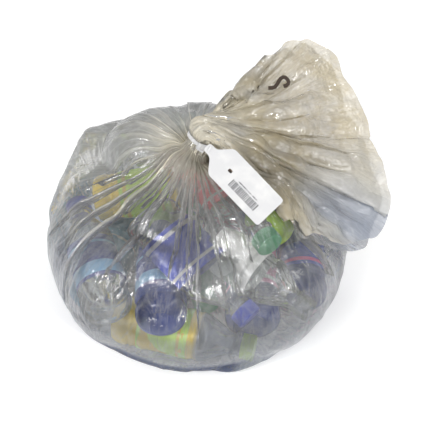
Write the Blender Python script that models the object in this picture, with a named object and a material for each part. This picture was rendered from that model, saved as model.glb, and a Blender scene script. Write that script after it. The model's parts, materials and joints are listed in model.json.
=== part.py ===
"""A clear refuse sack of empty plastic bottles, gathered at the neck and closed with a white tie tag.

Run with: blender --background --python part.py
Metres, +Z up. The origin is on the ground under the middle of the sack; the sack's mouth flops
over to +X, and -Y is the side with the tag.
"""

import math

import bmesh
import bpy
import numpy as np
from mathutils import Matrix, Vector
from mathutils.bvhtree import BVHTree

# Sack: the filled body
BODY_RADIUS = 0.172
FLAT_RADIUS = 0.118
FRONT_TO_BACK = 0.93
HIP_HEIGHT = 0.072
DOME_HEIGHT = 0.094
SPIRE_HEIGHT = 0.026
SPIRE_SPREAD = 0.050
FILM_WALL = 0.0008
CONTENT_CLEARANCE = 0.0026
WRAP_SPREAD = math.radians(6)
WRAP_FALL = 1.7
HELD_RINGS = (1.0, 0.9, 0.1)
RING_TILT_START = 0.055
RING_TILT_SPAN = 0.040

# Sack: pleats that run out from the neck
PLEATS = 12
PLEAT_DEPTH = 0.0080
PLEAT_REACH = 0.168
PLEAT_FADE = 0.050
PLEAT_ROOT = 0.012
PLEAT_RISE = 0.025

# Sack: the gathered neck under the tie
NECK_X = -0.002
NECK_Y = 0.034
NECK_RADIUS = 0.0145
NECK_LENGTH = 0.024
NECK_PASSAGE = 0.005
NECK_LEAN = Vector((0.55, 0.35, 0.75)).normalized()

# Sack: the loose top beyond the tie, a flattened fan of film
FAN_THICKNESS = 0.026
FAN_PLEATS = 9
FAN_PLEAT_DEPTH = 0.0055
FAN_REST_GAP = 0.0035
FAN_HEM = (
    (0.094, -0.056, 0.160),
    (0.150, -0.060, 0.126),
    (0.190, -0.034, 0.106),
    (0.218, 0.030, 0.116),
    (0.200, 0.074, 0.143),
    (0.177, 0.112, 0.175),
    (0.160, 0.152, 0.206),
    (0.120, 0.166, 0.229),
    (0.080, 0.138, 0.229),
)

# Bottles: two sizes of blown bottle
SMALL_LENGTH = 0.162
SMALL_RADIUS = 0.0285
HALF_LENGTH = 0.205
HALF_RADIUS = 0.0325
FINISH_RADIUS = 0.0132
MOUTH_RADIUS = 0.0109
FINISH_LENGTH = 0.022
BOTTLE_WALL = 0.0006
CAP_WALL = 0.0016
CAP_SKIRT = 0.0125
LABEL_WALL = 0.0004
SHOULDER_START = 0.62
LABEL_START = 0.20
LABEL_END = 0.56
FIT_GAP = 0.0003
TOUCH_GAP = 0.0003

# Tie tag: one moulding, a flag with a ribbed strap that loops round the neck
FLAG_WIDTH = 0.038
FLAG_LENGTH = 0.074
FLAG_THICKNESS = 0.0012
FLAG_CORNER = 0.0045
FLAG_ALONG = Vector((0.690, -0.552, -0.463)).normalized()
FLAG_FACING = Vector((0.0, -0.643, 0.766)).normalized()
HEAD_WAY = Vector((0.627, -0.597, -0.500)).normalized()
HEAD_REACH = 0.0335
HEAD_WIDTH = 0.010
HEAD_THICKNESS = 0.0060
HEAD_LENGTH = 0.009
SHOULDER_LENGTH = 0.012
SLOT_WIDTH = 0.0018
SLOT_LENGTH = 0.0048
SLOT_INSET = 0.011
STRAP_WIDTH = 0.0040
STRAP_THICKNESS = 0.0022
STRAP_TOOTH = 0.0007
STRAP_TEETH = 22
STRAP_UP = 0.20

# A hooked brown scrap caught on the loose top: its line, drawn as it is seen from the front and above
SCRAP_RADIUS = 0.0021
SCRAP_ACROSS = 0.093
SCRAP_RISE = 0.223
SCRAP_HOOK = (
    (-0.0126, -0.0058),
    (-0.0058, -0.0052),
    (-0.0023, -0.0006),
    (0.0017, 0.0052),
    (0.0058, 0.0063),
    (0.0098, 0.0023),
    (0.0092, -0.0017),
    (0.0046, -0.0040),
)

# Mesh fineness
SACK_SEGMENTS = 54
BOTTLE_SEGMENTS = 10


def clear_scene():
    for old in list(bpy.data.objects):
        bpy.data.objects.remove(old)


def smoothstep(x):
    x = np.clip(x, 0.0, 1.0)
    return x * x * (3 - 2 * x)


def material(name, colour, roughness, alpha=1.0):
    made = bpy.data.materials.new(name)
    made.use_nodes = True
    shader = made.node_tree.nodes["Principled BSDF"]
    shader.inputs["Base Color"].default_value = (*colour, 1.0)
    shader.inputs["Roughness"].default_value = roughness
    shader.inputs["Metallic"].default_value = 0.0
    shader.inputs["Alpha"].default_value = alpha
    return made


def add_object(name, mesh, finish):
    mesh.materials.append(finish)
    made = bpy.data.objects.new(name, mesh)
    bpy.context.scene.collection.objects.link(made)
    return made


def shade(mesh, sharp_degrees=40):
    mesh.shade_smooth()
    mesh.set_sharp_from_angle(angle=math.radians(sharp_degrees))


# The sack's film


def dome_height(radius):
    """Height of the top film over a ring of this radius, without the spire that rises to the neck."""
    return HIP_HEIGHT + DOME_HEIGHT * np.sqrt(np.clip(1 - (radius / BODY_RADIUS) ** 2, 0, 1))


def film_height(radius):
    return dome_height(radius) + SPIRE_HEIGHT * np.exp(-radius / SPIRE_SPREAD)


def ring_axes(normal):
    """Two axes across a ring whose normal is tilted from +Z."""
    first = (Vector((1, 0, 0)) - normal * normal.x).normalized()
    return first, normal.cross(first)


def pleat_wave(angle, count):
    """0 to 1 across unevenly spaced pleats, with narrow ridges and wide valleys."""
    wave = 0.5 + 0.5 * np.cos(count * angle + 0.9 * np.sin(3 * angle) + 0.6 * np.sin(5 * angle + 1))
    return wave**1.6


def body_rings(angle):
    """Rings of the filled body, from the ground to below the neck, and how far each point is pleated out."""
    rings, pleats = [], []
    for share in (0.34, 0.68, 1.0):
        rings.append((FLAT_RADIUS * share, 0.0))
    corner_steps = 5
    for step in range(1, corner_steps + 1):
        turn = math.pi / 2 * step / corner_steps
        radius = FLAT_RADIUS + (BODY_RADIUS - FLAT_RADIUS) * math.sin(turn)
        rings.append((radius, HIP_HEIGHT * (1 - math.cos(turn))))
    dome_steps = 11
    last_turn = math.acos(NECK_RADIUS * 1.25 / BODY_RADIUS)
    for step in range(1, dome_steps + 1):
        radius = BODY_RADIUS * math.cos(last_turn * (step / dome_steps) ** 0.92)
        rings.append((radius, float(film_height(radius))))
    points = []
    front = 0.35 + 0.65 * smoothstep(0.75 - 0.65 * np.sin(angle))
    for radius, height in rings:
        on_top = height > HIP_HEIGHT
        lean = (1 - radius / BODY_RADIUS) if on_top else 0.0
        tilt = float(smoothstep((RING_TILT_START - radius) / RING_TILT_SPAN)) if on_top else 0.0
        normal = Vector((0, 0, 1)).lerp(NECK_LEAN, tilt).normalized()
        across, along = (np.array(v) for v in ring_axes(normal))
        fade = smoothstep((PLEAT_REACH - radius) / PLEAT_FADE) * smoothstep((radius - PLEAT_ROOT) / PLEAT_RISE)
        pleats.append(PLEAT_DEPTH * fade * front * pleat_wave(angle, PLEATS) if on_top else 0 * angle)
        centre = np.array((NECK_X * lean, NECK_Y * lean, height))
        depth = 1 + (FRONT_TO_BACK - 1) * min(1.0, radius / FLAT_RADIUS)
        ring = np.cos(angle)[:, None] * across + depth * np.sin(angle)[:, None] * along
        points.append(centre + radius * ring)
    return np.array(points), np.array(pleats)


def stretched(way, content):
    """How far from the middle the film is, in each direction, where it is pulled straight from bottle to bottle and up to the tie."""
    angle = 2 * math.pi * np.arange(SACK_SEGMENTS) / SACK_SEGMENTS
    hull = bmesh.new()
    for point in np.vstack([content, neck_rings(angle)[0]]):
        hull.verts.new(point)
    bmesh.ops.convex_hull(hull, input=hull.verts)
    tree = BVHTree.FromBMesh(hull)
    hull.free()
    middle = Vector((0, 0, HIP_HEIGHT))
    return np.array([tree.ray_cast(middle, Vector(heading))[3] or 0.0 for heading in way])


def wrapped(points, content):
    """Ring points pushed out to the bottles, and straight across from bottle to bottle.

    The push dies away over the last rings, which the tie holds in.
    """
    middle = np.array((0.0, 0.0, HIP_HEIGHT))
    reach = content - middle
    far = np.linalg.norm(reach, axis=1)
    heading = reach / far[:, None]
    flat = points.reshape(-1, 3) - middle
    size = np.linalg.norm(flat, axis=1)
    way = flat / size[:, None]
    apart = np.arccos(np.clip(way @ heading.T, -1, 1))
    slack = np.clip(WRAP_FALL * (apart - WRAP_SPREAD), 0, math.pi / 2)
    needed = ((far + CONTENT_CLEARANCE + FILM_WALL) * np.cos(slack)).max(1)
    needed = np.maximum(needed, stretched(way, content))
    free = np.ones(points.shape[:2])
    free[-len(HELD_RINGS) :] = np.array(HELD_RINGS)[:, None]
    push = np.clip(needed - size, 0, None) * free.ravel()
    out = middle + way * (size + push)[:, None]
    out[:, 2] = np.maximum(out[:, 2], 0.0)
    return out.reshape(points.shape)


def tie_centre():
    return Vector((NECK_X, NECK_Y, float(film_height(NECK_RADIUS)))) + NECK_LEAN * 0.010


def neck_rings(angle):
    """The tube of gathered film that the strap closes on."""
    across, along = (np.array(v) for v in ring_axes(NECK_LEAN))
    start = np.array(tie_centre())
    points = []
    for share, swell in ((-0.12, 1.06), (0.0, 1.0), (0.28, 1.0), (0.55, 1.18)):
        centre = start + np.array(NECK_LEAN) * NECK_LENGTH * share
        ruffle = 1 + 0.04 * np.cos(PLEATS * angle)
        radius = (NECK_RADIUS * swell * ruffle)[:, None]
        points.append(centre + radius * (np.cos(angle)[:, None] * across + np.sin(angle)[:, None] * along))
    return points


def curve_through(points, share):
    """A Catmull-Rom curve through the points, read at shares of its length from 0 to 1."""
    known = np.array(points)
    known = np.vstack([2 * known[0] - known[1], known, 2 * known[-1] - known[-2]])
    at = np.clip(share, 0, 1) * (len(points) - 1)
    index = np.minimum(at.astype(int), len(points) - 2)
    t = (at - index)[:, None]
    a, b, c, d = (known[index + k] for k in range(4))
    return 0.5 * (2 * b + (c - a) * t + (2 * a - 5 * b + 4 * c - d) * t**2 + (3 * b - a - 3 * c + d) * t**3)


def fan_rings(angle, body_tree):
    """The loose top: two layers of film that spread out from the neck to the hem."""
    across, along = (np.array(v) for v in ring_axes(NECK_LEAN))
    root = np.array(tie_centre() + NECK_LEAN * NECK_LENGTH * 0.55)
    share = 0.5 + np.arcsin(np.clip(np.sin(angle), -1, 1)) / math.pi
    layer = -np.cos(angle)
    hem = curve_through(FAN_HEM, share)
    hem_side = curve_through(FAN_HEM, np.clip(share + 0.02, 0, 1)) - curve_through(
        FAN_HEM, np.clip(share - 0.02, 0, 1)
    )
    ray = hem - root
    normal = np.cross(ray, hem_side)
    normal /= np.linalg.norm(normal, axis=1)[:, None]
    ragged = 1 + 0.035 * np.sin(7 * angle + 0.5) + 0.02 * np.sin(12 * angle)
    points = []
    fan_steps = 9
    for step in range(1, fan_steps + 1):
        v = step / fan_steps
        opened = float(smoothstep(v / 0.55))
        tube_radius = NECK_RADIUS * (1.18 + 1.6 * v)
        tube = root + np.array(NECK_LEAN) * 0.035 * v + tube_radius * (
            np.cos(angle)[:, None] * across + np.sin(angle)[:, None] * along
        )
        apart = FAN_THICKNESS / 2 * (0.65 + 0.35 * math.sin(math.pi * v)) * np.sign(layer) * np.abs(layer) ** 0.6
        fold = FAN_PLEAT_DEPTH * pleat_wave(2 * math.pi * share, FAN_PLEATS) * math.sin(math.pi * min(v, 0.8))
        fan = root + ray * (v * ragged)[:, None] + normal * (apart + fold)[:, None]
        points.append(tube * (1 - opened) + fan * opened)
    return rested(points, body_tree)


def rested(rings, body_tree):
    """Lifts whatever of the fan would lie in the filled body, a whole column of the two layers at a time."""
    flat = np.array(rings)
    for row in flat[1:]:
        for column, point in enumerate(row):
            opposite = row[(len(row) // 2 - column) % len(row)]
            low, high = (point, opposite) if point[2] < opposite[2] else (opposite, point)
            hit = body_tree.ray_cast(Vector((low[0], low[1], 1.0)), Vector((0, 0, -1)))[0]
            if hit is None:
                continue
            lift = hit.z + FAN_REST_GAP - low[2]
            if lift > 0:
                low[2] += lift
                high[2] = max(high[2], low[2] + 0.006)
    return list(flat)


def grid_faces(rows, columns, start=0):
    faces = []
    for row in range(rows - 1):
        for column in range(columns):
            beside = (column + 1) % columns
            a, b = start + row * columns + column, start + row * columns + beside
            faces.append((a, b, b + columns, a + columns))
    return faces


def vertex_normals(points):
    """Outward normals of a stack of rings, shaped as the stack."""
    round_it = np.roll(points, -1, axis=1) - np.roll(points, 1, axis=1)
    up = np.gradient(points, axis=0)
    normal = np.cross(round_it, up)
    return normal / np.maximum(np.linalg.norm(normal, axis=2), 1e-12)[:, :, None]


def sack_mesh(content):
    angle = 2 * math.pi * np.arange(SACK_SEGMENTS) / SACK_SEGMENTS
    smooth, pleats = body_rings(angle)
    body = wrapped(smooth, content)
    body = body + vertex_normals(body) * pleats[:, :, None]
    body_list = [Vector(p) for p in body.reshape(-1, 3)]
    body_tree = BVHTree.FromPolygons(body_list, grid_faces(len(body), SACK_SEGMENTS))
    neck = neck_rings(angle)
    fan = fan_rings(angle, body_tree)
    outer = np.concatenate([body, neck, fan])

    wall = np.full(len(outer), FILM_WALL)
    gathered = NECK_RADIUS - NECK_PASSAGE
    first_neck = len(body)
    for row in range(len(outer)):
        steps_away = max(first_neck - row, row - first_neck - len(neck) + 1, 0)
        wall[row] += (gathered - FILM_WALL) * max(0.0, 1 - steps_away / 3) ** 2
    inner = outer - vertex_normals(outer) * wall[:, None, None]
    on_ground = outer[:, :, 2] < FILM_WALL
    inner[:, :, 2] = np.where(on_ground, outer[:, :, 2] + FILM_WALL, np.maximum(inner[:, :, 2], FILM_WALL))
    # A ring on the ground keeps its plan, so that the wall there is measured straight up
    inner[:3, :, :2] = outer[:3, :, :2]

    rows, columns = outer.shape[:2]
    count = rows * columns
    points = np.concatenate([outer.reshape(-1, 3), inner.reshape(-1, 3)])
    faces = grid_faces(rows, columns)
    faces += [face[::-1] for face in grid_faces(rows, columns, count)]
    rim = (rows - 1) * columns
    for column in range(columns):
        beside = (column + 1) % columns
        faces.append((rim + column, rim + beside, count + rim + beside, count + rim + column))
    bottom, floor = len(points), len(points) + 1
    points = np.vstack([points, (0, 0, 0), (0, 0, FILM_WALL)])
    for column in range(columns):
        beside = (column + 1) % columns
        faces.append((bottom, beside, column))
        faces.append((floor, count + column, count + beside))
    mesh = bpy.data.meshes.new("bag_film")
    mesh.from_pydata(points.tolist(), [], faces)
    mesh.validate()
    shade(mesh, 60)
    return mesh


# The bottles


def turned(profile, flatten, segments=BOTTLE_SEGMENTS):
    """A closed profile of (radius, height) turned round Z, then flattened where a bottle is crushed."""
    shape = bmesh.new()
    loop = [shape.verts.new((radius, 0, height)) for radius, height in profile]
    edges = [shape.edges.new(pair) for pair in zip(loop, loop[1:])]
    bmesh.ops.spin(
        shape,
        geom=loop + edges,
        cent=(0, 0, 0),
        axis=(0, 0, 1),
        angle=2 * math.pi,
        steps=segments,
        use_merge=True,
    )
    bmesh.ops.remove_doubles(shape, verts=shape.verts, dist=1e-6)
    bmesh.ops.recalc_face_normals(shape, faces=shape.faces)
    for vert in shape.verts:
        vert.co = flatten(vert.co)
    return shape


def crusher(length, amount):
    """Flattens a crushed bottle's belly and leaves its finish round."""

    def flatten(point):
        near_finish = float(smoothstep((point.z / length - SHOULDER_START) / 0.26))
        squeeze = amount * (1 - near_finish)
        return Vector((point.x * (1 + 0.45 * squeeze), point.y * (1 - squeeze), point.z))

    return flatten


def bottle_profile(length, radius):
    wall = BOTTLE_WALL
    neck = length - FINISH_LENGTH
    outer = (
        (0, 0.007),
        (radius * 0.58, 0),
        (radius * 0.90, 0.003),
        (radius, 0.014),
        (radius, length * SHOULDER_START),
        (radius * 0.78, length * 0.73),
        (radius * 0.50, length * 0.82),
        (FINISH_RADIUS, neck),
        (FINISH_RADIUS, length),
    )
    inner = (
        (MOUTH_RADIUS, length),
        (MOUTH_RADIUS, neck - 0.001),
        (radius * 0.50 - wall, length * 0.82 - wall),
        (radius - wall, length * SHOULDER_START),
        (radius - wall, 0.014 + wall),
        (0, 0.007 + wall),
    )
    return outer + inner


def label_profile(length, radius):
    inside = radius + FIT_GAP
    outside = inside + LABEL_WALL
    low, high = length * LABEL_START, length * LABEL_END
    return ((inside, low), (outside, low), (outside, high), (inside, high), (inside, low))


def cap_profile(length):
    inside = FINISH_RADIUS + FIT_GAP
    outside = inside + CAP_WALL
    low, high = length - CAP_SKIRT, length + FIT_GAP
    return (
        (0, high),
        (inside, high),
        (inside, low),
        (outside, low),
        (outside, high + CAP_WALL * 0.6),
        (outside - 0.001, high + CAP_WALL),
        (0, high + CAP_WALL),
    )


SIZES = {"small": (SMALL_LENGTH, SMALL_RADIUS), "half": (HALF_LENGTH, HALF_RADIUS)}

# Bottle tints, label colours and cap colours
CLEAR = (0.72, 0.76, 0.76)
SKY = (0.16, 0.42, 0.62)
NAVY = (0.03, 0.06, 0.30)
GREEN = (0.10, 0.42, 0.20)
LEMON = (0.85, 0.62, 0.05)
LIME = (0.42, 0.62, 0.04)
BLUE = (0.06, 0.10, 0.62)
RED = (0.62, 0.06, 0.09)
PINK = (0.80, 0.14, 0.40)
CREAM = (0.80, 0.74, 0.58)
TEAL = (0.12, 0.30, 0.36)
WHITE = (0.80, 0.80, 0.78)

# name, size, crush, tint, label, cap (None where it's lost); then x, y and heading of the place that
# the bottle is dropped over. Heading 0 points the mouth to +X.
BOTTLES = (
    ("front_lemon", "small", 0.0, LEMON, LIME, LIME, -0.015, -0.101, -15),
    ("floor_navy", "half", 0.0, NAVY, PINK, WHITE, 0.064, 0.008, 90),
    ("right_navy", "small", 0.0, NAVY, BLUE, TEAL, 0.122, 0.012, 90),
    ("left_sky", "small", 0.0, SKY, SKY, WHITE, -0.104, 0.020, 90),
    ("floor_green", "small", 0.0, GREEN, WHITE, GREEN, -0.010, 0.008, -90),
    ("back_clear", "small", 0.0, CLEAR, TEAL, WHITE, 0.012, 0.121, 4),
    ("left_clear", "small", 0.0, CLEAR, NAVY, BLUE, -0.118, -0.035, 107),
    ("front_navy", "small", 0.0, NAVY, NAVY, LIME, -0.040, -0.040, 62),
    ("front_open", "small", 0.0, CLEAR, WHITE, None, 0.062, -0.060, -8),
    ("right_lime", "small", 0.0, LIME, LIME, RED, 0.110, 0.040, 100),
    ("left_lemon", "small", 0.0, LEMON, LIME, LIME, -0.064, 0.060, -10),
    ("back_cream", "small", 0.0, CLEAR, TEAL, CREAM, -0.010, 0.110, 2),
    ("middle_red", "small", 0.5, CLEAR, RED, GREEN, 0.060, 0.020, -30),
    ("middle_blue", "small", 0.5, CLEAR, BLUE, BLUE, -0.010, -0.055, -59),
)

# How far a dropped bottle may roll, turn and tip to find a lower place
ROLLS = (-0.022, -0.011, 0.0, 0.011, 0.022)
TURNS = (-30, -15, 0, 15, 30)
TIPS = (-24, -16, -8, 0, 8, 16, 24)


def beads(size, crush):
    """A bottle as a row of balls: each one's place along its length and its radius."""
    length, radius = SIZES[size]
    along = np.linspace(radius * 0.8, length - FINISH_RADIUS, 9)
    size_there = np.interp(along / length, (SHOULDER_START, 0.82, 0.88), (radius, radius * 0.5, FINISH_RADIUS * 1.1))
    return along - length / 2, size_there * (1 - crush * (along / length < SHOULDER_START))


def low_place(size, crush, x, y, heading, resting):
    """The place near the wished one where a dropped bottle comes to lie lowest and inside the sack."""
    along, radii = beads(size, crush)
    best = None
    for tip in TIPS:
        for turn in TURNS:
            way = math.radians(heading + turn)
            flat = math.cos(math.radians(tip))
            offset = np.stack([math.cos(way) * flat * along, math.sin(way) * flat * along], 1)
            rise = math.sin(math.radians(tip)) * along
            for roll_x in ROLLS:
                for roll_y in ROLLS:
                    spot = offset + (x + roll_x, y + roll_y)
                    height = float((FILM_WALL + radii - rise).max())
                    if resting is not None:
                        apart = np.hypot(spot[:, None, 0] - resting[:, 0], spot[:, None, 1] - resting[:, 1])
                        reach = radii[:, None] + resting[:, 3]
                        over = np.sqrt(np.clip(reach**2 - apart**2, 0, None)) + resting[:, 2] - rise[:, None]
                        height = max(height, float(np.where(apart < reach, over, 0).max()))
                    z = height + rise
                    out = np.hypot(spot[:, 0], spot[:, 1] / FRONT_TO_BACK)
                    low_part = np.clip(1 - z / HIP_HEIGHT, 0, 1)
                    side = FLAT_RADIUS + (BODY_RADIUS - FLAT_RADIUS) * np.sqrt(1 - low_part**2)
                    beyond = np.clip(out + 0.9 * radii - side, 0, None).max()
                    above = np.clip(z + radii - dome_height(out) + 0.006, 0, None).max()
                    cost = height + 3 * beyond + 4 * above + 0.2 * math.hypot(roll_x, roll_y)
                    if best is None or cost < best[0] - 1e-6:
                        best = (cost, x + roll_x, y + roll_y, heading + turn, tip, height, spot, z)
    return best[1:6], np.column_stack([best[6], best[7], radii])


def placing(size, x, y, heading, pitch, height):
    """Where a bottle's own frame, base at the origin and mouth along +Z, goes."""
    turn = Matrix.Rotation(math.radians(heading), 4, "Z") @ Matrix.Rotation(math.radians(90 - pitch), 4, "Y")
    roll = Matrix.Rotation(math.radians(90), 4, "Z")
    middle = Matrix.Translation((0, 0, -SIZES[size][0] / 2))
    return Matrix.Translation((x, y, height)) @ turn @ roll @ middle


def settled(pieces, place, trees, start):
    """The height at which these pieces, lowered from a start, come to rest on what is there already."""

    def parts_at(height):
        matrix = place(height)
        return [([matrix @ v.co for v in p.verts], [[v.index for v in f.verts] for f in p.faces]) for p in pieces]

    def touches(height):
        for points, faces in parts_at(height):
            if min(point.z for point in points) < FILM_WALL:
                return True
            tree = BVHTree.FromPolygons(points, faces)
            if any(tree.overlap(other) for other in trees):
                return True
        return False

    high = start
    step = 0.004
    while touches(high):
        high += step
    while not touches(high - step):
        high -= step
    low = high - step
    while high - low > 0.00005:
        middle = (high + low) / 2
        if touches(middle):
            low = middle
        else:
            high = middle
    return high + TOUCH_GAP


def bottles():
    """Adds every bottle with its label and cap, each lowered on to those before it, and returns their points."""
    trees, surface, resting = [], [], None
    for name, size, crush, tint, label, cap, x, y, heading in BOTTLES:
        length, radius = SIZES[size]
        flatten = crusher(length, crush)
        pieces = {"body": turned(bottle_profile(length, radius), flatten)}
        pieces["label"] = turned(label_profile(length, radius), flatten)
        if cap:
            pieces["cap"] = turned(cap_profile(length), flatten)
        for shape in pieces.values():
            shape.verts.index_update()
        (x, y, heading, pitch, start), row = low_place(size, crush, x, y, heading, resting)
        height = settled(pieces.values(), lambda z: placing(size, x, y, heading, pitch, z), trees, start)
        row[:, 2] += height - start
        resting = row if resting is None else np.vstack([resting, row])
        place = placing(size, x, y, heading, pitch, height)
        finishes = {
            "body": material(f"{name}_tint", tint, 0.12, 0.45),
            "label": material(f"{name}_print", label, 0.35),
            "cap": material(f"{name}_cap", cap or tint, 0.3),
        }
        for part, shape in pieces.items():
            points = [place @ v.co for v in shape.verts]
            trees.append(BVHTree.FromPolygons(points, [[v.index for v in f.verts] for f in shape.faces]))
            for edge in shape.edges:
                ends = [points[vert.index] for vert in edge.verts]
                steps = max(1, round((ends[1] - ends[0]).length / 0.010))
                surface += [ends[0].lerp(ends[1], step / steps) for step in range(steps + 1)]
            mesh = bpy.data.meshes.new(f"{name}_{part}")
            shape.to_mesh(mesh)
            shape.free()
            shade(mesh)
            add_object(f"{name}_{part}", mesh, finishes[part]).matrix_world = place
    return np.array(surface)


# The tie tag and the scrap


def slab(outline, hole, low, high):
    """A plate cut from an outline with one hole in it, between two heights, in its own flat frame."""
    shape = bmesh.new()
    for loop in (outline, hole):
        verts = [shape.verts.new((x, y, low)) for x, y in loop]
        for index, vert in enumerate(verts):
            shape.edges.new((vert, verts[(index + 1) % len(verts)]))
    bmesh.ops.triangle_fill(shape, use_beauty=True, edges=shape.edges[:])
    raised = bmesh.ops.extrude_face_region(shape, geom=shape.faces[:])
    lifted = [item for item in raised["geom"] if isinstance(item, bmesh.types.BMVert)]
    bmesh.ops.translate(shape, verts=lifted, vec=(0, 0, high - low))
    bmesh.ops.recalc_face_normals(shape, faces=shape.faces)
    return shape


def rounded(corners, radius, steps=3):
    """The outline through these corners, each one rounded by a radius."""
    line = []
    for index, corner in enumerate(corners):
        here = Vector(corner)
        before = (Vector(corners[index - 1]) - here).normalized()
        after = (Vector(corners[(index + 1) % len(corners)]) - here).normalized()
        for step in range(steps + 1):
            t = step / steps
            line.append(here + before * radius * (1 - t) ** 2 + after * radius * t**2)
    return [tuple(point) for point in line]


def flag_outline():
    half, end = FLAG_WIDTH / 2, FLAG_LENGTH
    neck = HEAD_WIDTH / 2
    return rounded(
        (
            (-SHOULDER_LENGTH - 0.010, -neck),
            (-SHOULDER_LENGTH, -neck),
            (0.0, -half),
            (end, -half),
            (end, half),
            (0.0, half),
            (-SHOULDER_LENGTH, neck),
            (-SHOULDER_LENGTH - 0.010, neck),
        ),
        FLAG_CORNER * 0.8,
    )


def as_mesh(name, shape, matrix):
    shape.transform(matrix)
    mesh = bpy.data.meshes.new(name)
    shape.to_mesh(mesh)
    shape.free()
    return mesh


def strap_shape(radius):
    """The ribbed strap as a closed loop round the local Z axis."""
    shape = bmesh.new()
    rings = []
    count = STRAP_TEETH * 2
    for step in range(count):
        turn = 2 * math.pi * step / count
        outside = radius + STRAP_THICKNESS + (STRAP_TOOTH if step % 2 else 0)
        ring = []
        for far, side in ((radius, -1), (outside, -1), (outside, 1), (radius, 1)):
            place = (far * math.cos(turn), far * math.sin(turn), side * STRAP_WIDTH / 2)
            ring.append(shape.verts.new(place))
        rings.append(ring)
    for index, ring in enumerate(rings):
        following = rings[(index + 1) % count]
        for k in range(4):
            shape.faces.new((ring[k], ring[(k + 1) % 4], following[(k + 1) % 4], following[k]))
    bmesh.ops.recalc_face_normals(shape, faces=shape.faces)
    return shape


def box_shape(length, width, height):
    shape = bmesh.new()
    bmesh.ops.create_cube(shape, size=1.0)
    bmesh.ops.scale(shape, vec=(length, width, height), verts=shape.verts)
    return shape


def frame_at(origin, along, normal):
    """A local frame with X along, Z on the normal, at an origin."""
    x = along.normalized()
    z = (normal - x * normal.dot(x)).normalized()
    y = z.cross(x)
    matrix = Matrix((x, y, z)).transposed().to_4x4()
    matrix.translation = origin
    return matrix


def clear_of(outline_points, facing, tree):
    """How far along the facing direction these points must move to lie a hair off the film."""
    need = -1.0
    for point in outline_points:
        hit = tree.ray_cast(point + facing * 0.2, -facing)
        if hit[0] is not None:
            need = max(need, (hit[0] - point).dot(facing))
    return need + TOUCH_GAP


def union(target, tool_mesh, name):
    tool = bpy.data.objects.new(name, tool_mesh)
    bpy.context.scene.collection.objects.link(tool)
    tool.hide_render = True
    tool.display_type = "WIRE"
    join = target.modifiers.new(name, "BOOLEAN")
    join.operation = "UNION"
    join.solver = "EXACT"
    join.object = tool


def tie_tag(film):
    """The tag: the loop sits on the gathered neck, and the flag leans on the film below it."""
    tree = BVHTree.FromPolygons([v.co for v in film.vertices], [list(p.vertices) for p in film.polygons])
    finish = material("tag_moulding", (0.86, 0.86, 0.84), 0.35)
    centre = tie_centre() + NECK_LEAN * NECK_LENGTH * STRAP_UP
    inside = NECK_RADIUS * 1.045 + FIT_GAP
    along, facing = FLAG_ALONG, FLAG_FACING

    start = centre + HEAD_WAY * HEAD_REACH
    across = facing.cross(along).normalized()
    probes = []
    for u in np.linspace(0, FLAG_LENGTH, 12):
        for v in np.linspace(-FLAG_WIDTH / 2, FLAG_WIDTH / 2, 7):
            probes.append(start + along * float(u) + across * float(v))
    for u in np.linspace(-SHOULDER_LENGTH - 0.010, 0, 6):
        for v in (-HEAD_WIDTH / 2, 0.0, HEAD_WIDTH / 2):
            probes.append(start + along * float(u) + across * v)
    start = start + facing * clear_of(probes, facing, tree)
    slot = rounded(
        (
            (SLOT_INSET, -SLOT_WIDTH),
            (SLOT_INSET + SLOT_LENGTH, -SLOT_WIDTH),
            (SLOT_INSET + SLOT_LENGTH, SLOT_WIDTH),
            (SLOT_INSET, SLOT_WIDTH),
        ),
        SLOT_WIDTH * 0.6,
        2,
    )
    plate = slab(flag_outline(), slot, 0.0, FLAG_THICKNESS)
    flag = add_object("tie_tag", as_mesh("tie_tag", plate, frame_at(start, along, facing)), finish)

    # The link runs from the flag's head to the lock on the loop
    head = start - along * (SHOULDER_LENGTH + 0.006) + facing * FLAG_THICKNESS / 2
    to_head = head - centre
    level = (to_head - NECK_LEAN * to_head.dot(NECK_LEAN)).normalized()
    lock = centre + level * (inside + STRAP_THICKNESS / 2 + HEAD_THICKNESS * 0.42)
    link = head - lock
    middle = (head + lock) / 2
    union(flag, as_mesh("link", box_shape(link.length + 0.004, 0.0062, 0.0026), frame_at(middle, link, facing)), "link")
    lock_box = box_shape(HEAD_THICKNESS, HEAD_LENGTH, HEAD_WIDTH * 0.8)
    union(flag, as_mesh("lock", lock_box, frame_at(lock, level, NECK_LEAN)), "lock")
    loop = as_mesh("loop", strap_shape(inside), frame_at(centre, level, NECK_LEAN))
    union(flag, loop, "loop")
    return flag


def scrap(film):
    """A short tube along a hooked line that lies on the loose top."""
    tree = BVHTree.FromPolygons([v.co for v in film.vertices], [list(p.vertices) for p in film.polygons])
    right = Vector((1, 0, 0))
    upward = FLAG_FACING.cross(right)
    points = []
    for x, y, _ in curve_through([(x, y, 0.0) for x, y in SCRAP_HOOK], np.linspace(0, 1, 13)):
        points.append(right * (SCRAP_ACROSS + x) + upward * (SCRAP_RISE + y))
    lift = clear_of(points, FLAG_FACING, tree) + 3 * SCRAP_RADIUS
    lower = 0.0001

    def clearance(height):
        return min(tree.find_nearest(point + FLAG_FACING * height)[3] for point in points) - SCRAP_RADIUS

    while clearance(lift - lower) > TOUCH_GAP:
        lift -= lower
    line = bpy.data.curves.new("brown_scrap", "CURVE")
    line.dimensions = "3D"
    line.bevel_depth = SCRAP_RADIUS
    line.bevel_resolution = 2
    line.use_fill_caps = True
    path = line.splines.new("POLY")
    path.points.add(len(points) - 1)
    for knot, point in zip(path.points, points):
        knot.co = (*(point + FLAG_FACING * lift), 1.0)
    made = bpy.data.objects.new("brown_scrap", line)
    bpy.context.scene.collection.objects.link(made)
    line.materials.append(material("scrap", (0.10, 0.055, 0.03), 0.7))
    return made


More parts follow.
